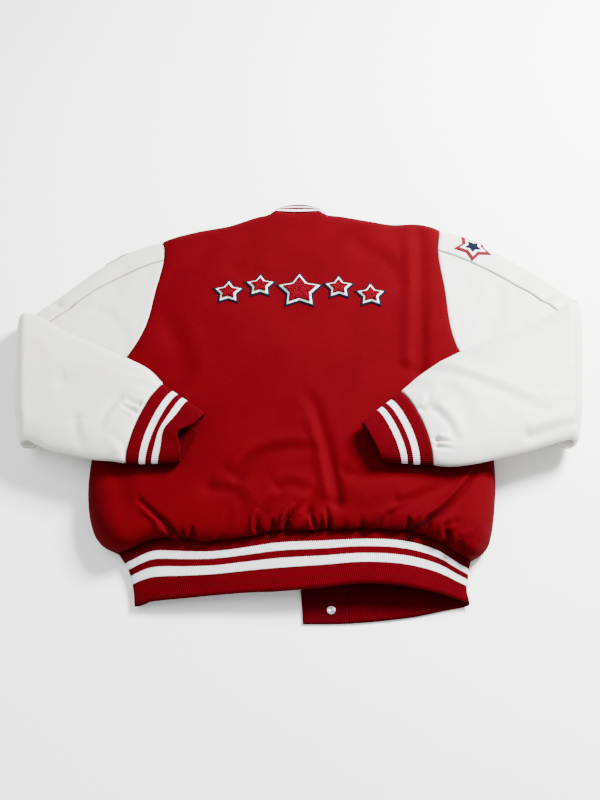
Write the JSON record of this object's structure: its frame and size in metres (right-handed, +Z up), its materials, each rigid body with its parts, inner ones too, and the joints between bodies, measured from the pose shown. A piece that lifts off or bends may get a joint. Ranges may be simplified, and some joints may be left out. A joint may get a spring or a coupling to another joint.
{
  "type": "varsity jacket",
  "caption": "Varsity jacket laid face down with its sleeves folded over the back: wool body, leather sleeves, striped rib waistband, cuffs and collar.",
  "frame": {"origin": "on the surface that the jacket lies on, under the middle of the body, on the outside of the left front", "axes": "+X across the jacket to the wearer's right, +Y from the hem to the collar, +Z up through the layers"},
  "size_m": [0.9155, 0.7649, 0.075],
  "materials": {
    "wool": "red melton wool",
    "rib": "red rib knit, white stripes",
    "leather": "white grained leather",
    "navy_felt": "navy felt",
    "white_felt": "white felt",
    "red_pile": "red chenille loops",
    "red_felt": "red felt",
    "steel": "plated snap metal"
  },
  "bodies": {
    "root": {"back": "wool", "front_left": "wool", "front_right": "wool", "tab_left": "wool", "tab_right": "wool", "waistband": "rib", "collar": "rib", "cuff_left": "rib", "cuff_right": "rib", "sleeve_top_left": "leather", "sleeve_under_left": "leather", "sleeve_top_right": "leather", "sleeve_under_right": "leather", "motif_base_1": "navy_felt", "motif_base_2": "navy_felt", "motif_base_3": "navy_felt", "motif_base_4": "navy_felt", "motif_base_5": "navy_felt", "patch_star_left": "navy_felt", "patch_star_right": "navy_felt", "motif_edging_1": "white_felt", "motif_edging_2": "white_felt", "motif_edging_3": "white_felt", "motif_edging_4": "white_felt", "motif_edging_5": "white_felt", "patch_edging_left": "white_felt", "patch_edging_right": "white_felt", "motif_star_1": "red_pile", "motif_star_2": "red_pile", "motif_star_3": "red_pile", "motif_star_4": "red_pile", "motif_star_5": "red_pile", "patch_border_left": "red_felt", "patch_border_right": "red_felt", "snap_left_1": "steel", "snap_left_2": "steel", "snap_left_3": "steel", "snap_left_4": "steel", "snap_left_5": "steel", "snap_left_6": "steel", "snap_left_7": "steel", "snap_right_1": "steel", "snap_right_2": "steel", "snap_right_3": "steel", "snap_right_4": "steel", "snap_right_5": "steel", "snap_right_6": "steel", "snap_right_7": "steel"}
  },
  "joints": []
}
